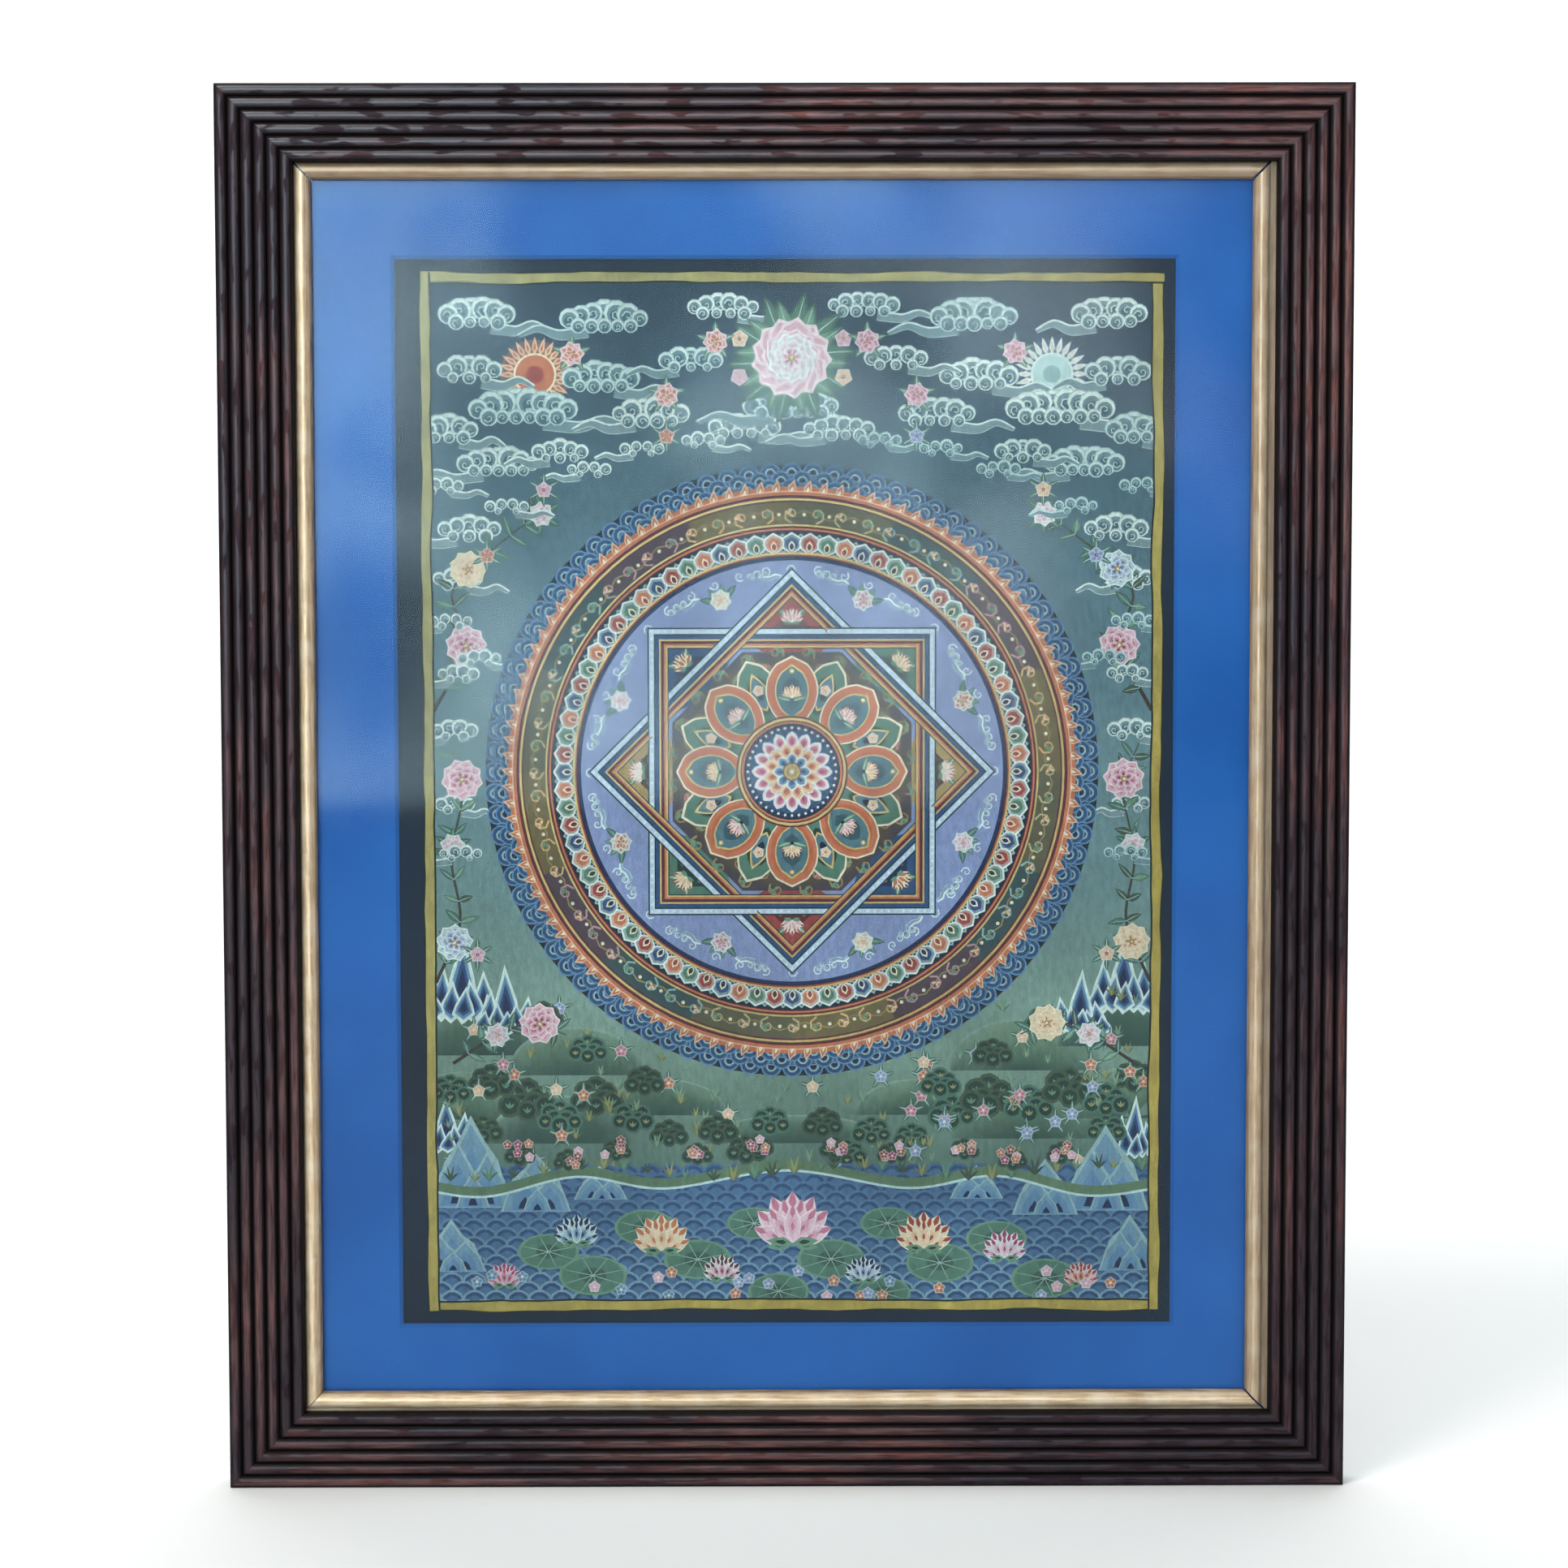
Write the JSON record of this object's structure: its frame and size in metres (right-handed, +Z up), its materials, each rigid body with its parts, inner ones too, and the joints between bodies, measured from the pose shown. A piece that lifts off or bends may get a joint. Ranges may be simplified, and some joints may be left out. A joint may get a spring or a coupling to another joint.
{
  "type": "thangka painting in reeded wood frame",
  "caption": "Painted cloth thangka with a round mandala, behind a blue window mount and glass in a dark reeded wood frame with a gilt slip, hung on a wall.",
  "frame": {"origin": "middle of the top rail's back face, in the plane of the wall", "axes": "+Z up, +Y into the wall, +X to the right as the viewer faces the picture, which faces -Y"},
  "size_m": [0.55, 0.0219, 0.686],
  "materials": {
    "stained_wood": "dark stained open-grain wood, waxed, worn reddish on the reeds",
    "gilding": "pale gilding on wood, satin, rubbed",
    "blue_board": "matt blue mount board",
    "pane": "clear polished picture glass",
    "painted_cotton": "matt mineral colours on primed cotton",
    "hardboard": "plain hardboard, matt"
  },
  "bodies": {
    "root": {"rail_top": "stained_wood", "rail_bottom": "stained_wood", "rail_left": "stained_wood", "rail_right": "stained_wood", "slip_top": "gilding", "slip_bottom": "gilding", "slip_left": "gilding", "slip_right": "gilding", "glass_pane": "pane", "window_mount": "blue_board", "painted_cloth": "painted_cotton", "back_board": "hardboard"}
  },
  "joints": []
}
